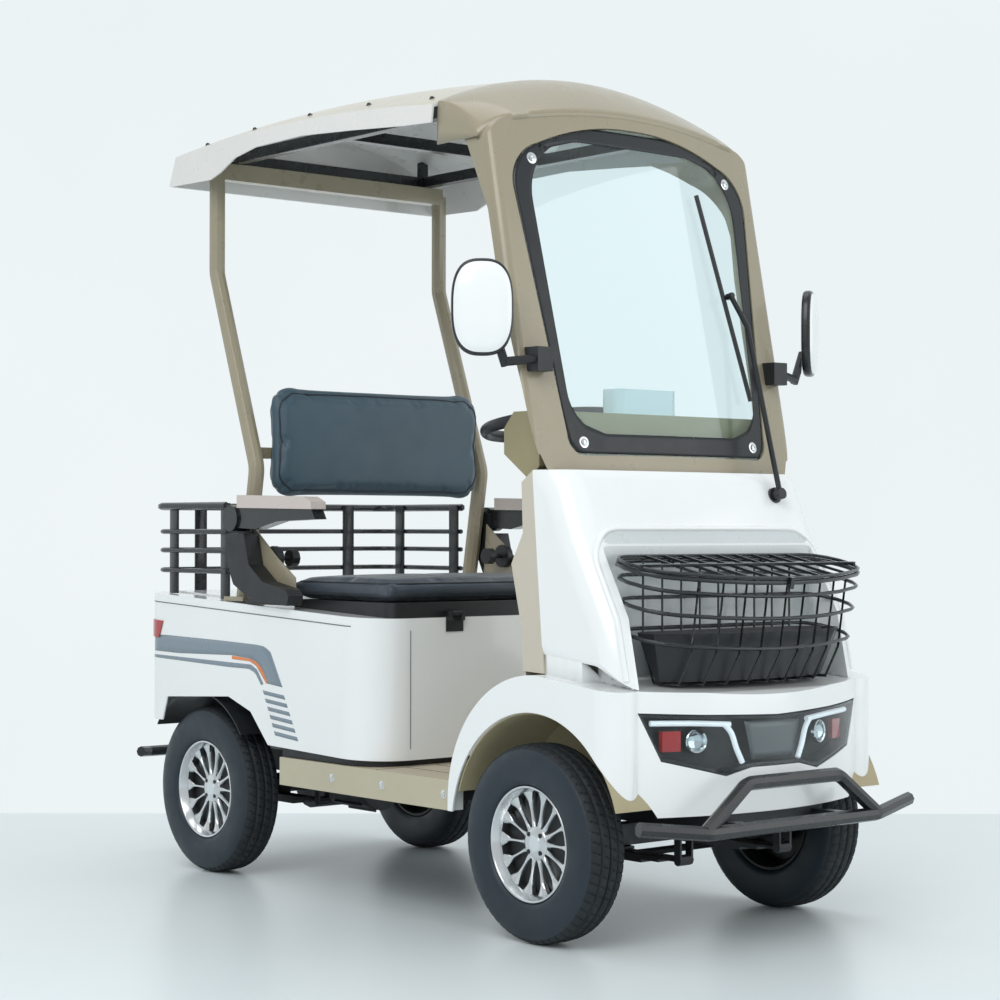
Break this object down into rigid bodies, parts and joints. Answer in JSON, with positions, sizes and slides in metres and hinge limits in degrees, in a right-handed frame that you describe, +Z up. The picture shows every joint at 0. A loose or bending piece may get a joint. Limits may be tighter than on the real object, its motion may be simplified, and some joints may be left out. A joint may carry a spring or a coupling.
{
  "type": "two-seat electric golf cart",
  "caption": "Small two-seat electric golf cart with a rigid canopy, curved windscreen, front wire basket, bench seat and a railed cargo deck behind it.",
  "frame": {"origin": "on the ground under the middle of the overall length and width, midway between the axles", "axes": "+Z up, the front of the cart faces -Y, +X is the cart's left"},
  "size_m": [1.0554, 1.94, 1.8019],
  "materials": {
    "white_paint": "gloss white",
    "beige_paint": "satin beige",
    "black_paint": "satin black",
    "black_plastic": "matte black",
    "dark_steel": "satin black",
    "seat_leather": "satin",
    "tyre": "matte",
    "alloy": "machined",
    "screen_glass": "clear",
    "clear_lens": "clear",
    "red_lens": "gloss red"
  },
  "bodies": {
    "cart": {"chassis_frame": "dark_steel", "floor_deck": "black_plastic", "floor_sills": "beige_paint", "front_axle": "dark_steel", "leaf_springs": "dark_steel", "rear_axle": "dark_steel", "drive_motor": "dark_steel", "battery_pack": "black_plastic", "steering_column": "black_plastic", "nose_shell": "white_paint", "headlamp_lens": "clear_lens", "headlamp_housing": "black_plastic", "wheel_wells": "beige_paint", "cowl_shell": "white_paint", "leg_shield": "beige_paint", "dash_panel": "beige_paint", "windscreen": "screen_glass", "canopy_front": "beige_paint", "roof_panel": "white_paint", "roof_frame": "black_paint", "rear_posts": "beige_paint", "rear_body": "white_paint", "inner_fenders": "black_plastic", "body_plinth": "black_plastic", "seat_hinges": "dark_steel", "seat_back": "seat_leather", "front_bumper": "black_paint", "rear_bumper": "black_paint", "cargo_rails": "black_paint", "armrest_brackets": "black_plastic", "seat_side_plates": "beige_paint", "clamp_knobs": "black_plastic", "mirror_arms": "black_plastic", "mirror_heads": "black_plastic", "basket_wire": "black_paint", "basket_tub": "black_plastic", "tail_lamps": "red_lens", "wiper_boss": "black_plastic"},
    "seat_lid": {"seat_base": "black_plastic", "seat_cushion": "seat_leather"},
    "steering": {"steering_wheel": "black_plastic"},
    "knuckle_R": {"knuckle_R": "dark_steel"},
    "knuckle_L": {"knuckle_L": "dark_steel"},
    "tie_rod": {"tie_rod": "dark_steel"},
    "wheel_front_R": {"tyre_front_R": "tyre", "rim_front_R": "alloy"},
    "wheel_front_L": {"tyre_front_L": "tyre", "rim_front_L": "alloy"},
    "wheel_rear_R": {"tyre_rear_R": "tyre", "rim_rear_R": "alloy"},
    "wheel_rear_L": {"tyre_rear_L": "tyre", "rim_rear_L": "alloy"},
    "armrest_R": {"armrest_R": "black_plastic"},
    "armrest_L": {"armrest_L": "black_plastic"},
    "basket_lid": {"basket_lid": "black_paint"},
    "wiper": {"wiper": "black_plastic"}
  },
  "joints": [
    {"name": "steering_turn", "type": "hinge", "parent": "cart", "child": "steering", "pos_m": [0, -0.247, 1.035], "axis": [0, 0.1392, 0.9903], "range_deg": [-252, 252]},
    {"name": "knuckle_R_turn", "type": "hinge", "parent": "cart", "child": "knuckle_R", "pos_m": [-0.291, -0.6, 0.195], "axis": [0, 0, 1], "range_deg": [-28.1, 28.1]},
    {"name": "knuckle_L_turn", "type": "hinge", "parent": "cart", "child": "knuckle_L", "pos_m": [0.291, -0.6, 0.195], "axis": [0, 0, 1], "range_deg": [-28.1, 28.1]},
    {"name": "tie_rod_slide", "type": "slide", "parent": "cart", "child": "tie_rod", "axis": [1, 0, 0], "range_m": [-0.045, 0.045]},
    {"name": "wheel_front_R_spin", "type": "hinge", "parent": "knuckle_R", "child": "wheel_front_R", "pos_m": [-0.336, -0.6, 0.195], "axis": [1, 0, 0], "continuous": true},
    {"name": "wheel_front_L_spin", "type": "hinge", "parent": "knuckle_L", "child": "wheel_front_L", "pos_m": [0.336, -0.6, 0.195], "axis": [1, 0, 0], "continuous": true},
    {"name": "wheel_rear_R_spin", "type": "hinge", "parent": "cart", "child": "wheel_rear_R", "pos_m": [-0.3125, 0.6, 0.195], "axis": [1, 0, 0], "continuous": true},
    {"name": "wheel_rear_L_spin", "type": "hinge", "parent": "cart", "child": "wheel_rear_L", "pos_m": [0.3125, 0.6, 0.195], "axis": [1, 0, 0], "continuous": true},
    {"name": "seat_lid_lift", "type": "hinge", "parent": "cart", "child": "seat_lid", "pos_m": [0, -0.093, 0.625], "axis": [1, 0, 0], "range_deg": [0, 70]},
    {"name": "armrest_R_lift", "type": "hinge", "parent": "cart", "child": "armrest_R", "pos_m": [-0.38, 0.425, 0.833], "axis": [-1, 0, 0], "range_deg": [0, 85]},
    {"name": "armrest_L_lift", "type": "hinge", "parent": "cart", "child": "armrest_L", "pos_m": [0.38, 0.425, 0.833], "axis": [-1, 0, 0], "range_deg": [0, 85]},
    {"name": "basket_lid_lift", "type": "hinge", "parent": "cart", "child": "basket_lid", "pos_m": [0, -0.742, 0.748], "axis": [-1, 0, 0], "range_deg": [0, 85]},
    {"name": "wiper_sweep", "type": "hinge", "parent": "cart", "child": "wiper", "pos_m": [0.235, -0.68398, 0.88079], "axis": [0, -0.9806, 0.1959], "range_deg": [0, 40]}
  ],
  "couplings": [
    {"joint": "knuckle_R_turn", "follows": "steering_turn", "ratio": 0.11111},
    {"joint": "knuckle_L_turn", "follows": "steering_turn", "ratio": 0.11111},
    {"joint": "tie_rod_slide", "follows": "steering_turn", "m_per_rad": -0.01}
  ]
}
